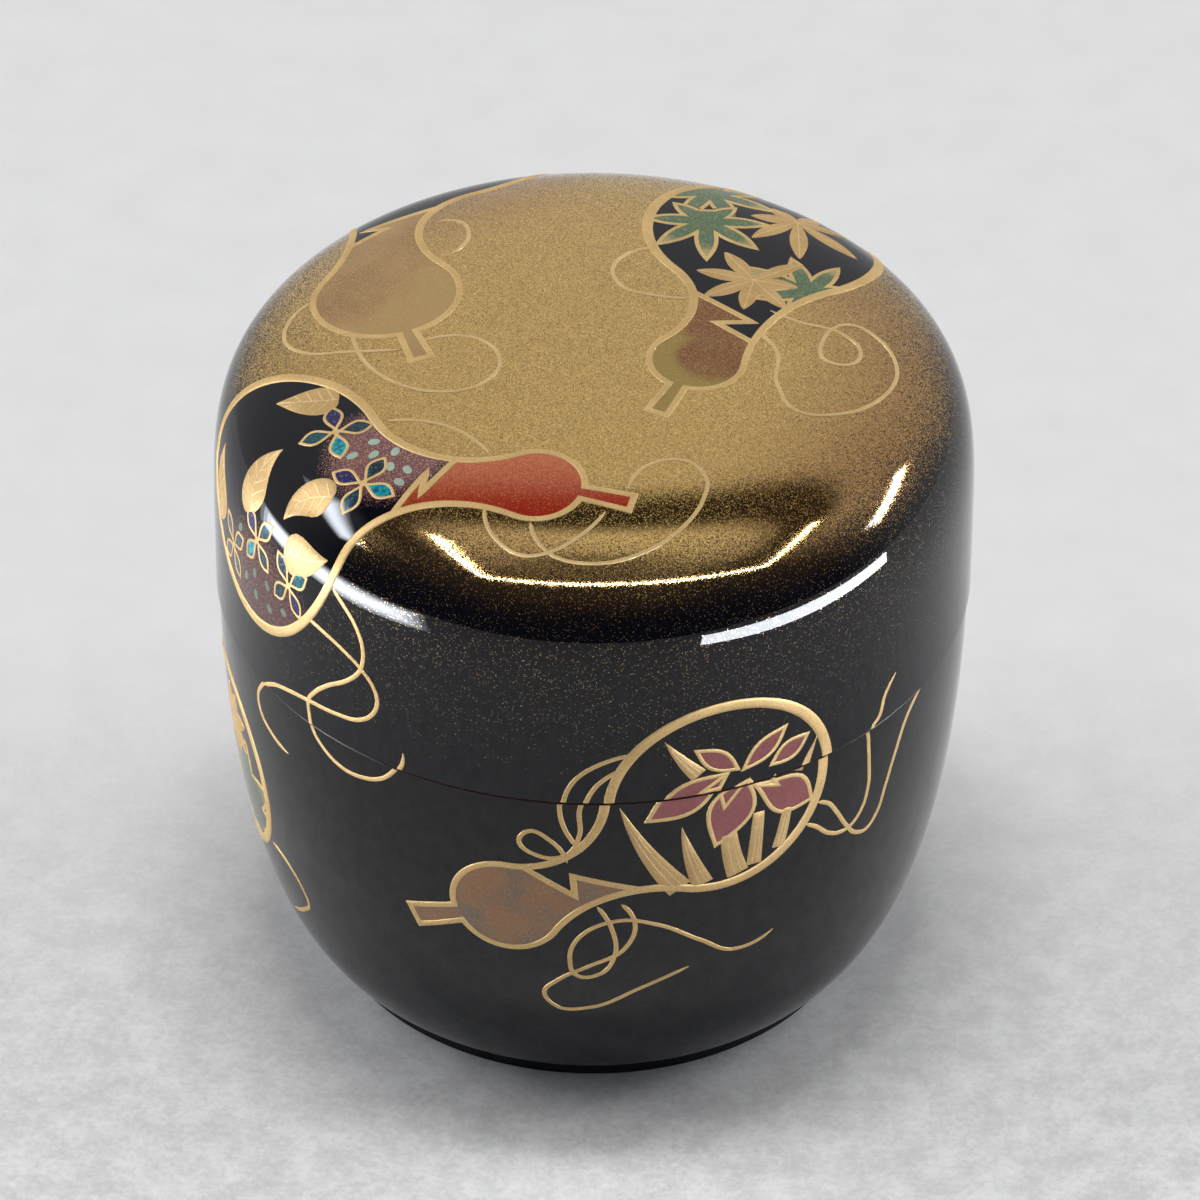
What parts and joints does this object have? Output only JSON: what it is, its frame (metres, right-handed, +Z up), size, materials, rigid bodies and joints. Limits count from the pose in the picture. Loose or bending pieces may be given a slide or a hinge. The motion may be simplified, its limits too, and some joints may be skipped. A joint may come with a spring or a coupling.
{
  "type": "lacquer tea caddy",
  "caption": "Round turned-wood tea caddy with a lift-off domed lid over a standing rim, black lacquer with gold and shell decoration.",
  "frame": {"origin": "centre of the foot, on the surface that the caddy stands on", "axes": "+Z up the turning axis from the foot to the lid, and the side that faces the picture's camera towards -Y"},
  "size_m": [0.068, 0.068, 0.065],
  "materials": {
    "black_lacquer": "turned wood under polished black lacquer, high gloss",
    "gold_ground": "turned wood under black lacquer with fine gold powder sunk in clear lacquer, high gloss"
  },
  "bodies": {
    "root": {"body": "black_lacquer", "lid": "gold_ground"}
  },
  "joints": []
}
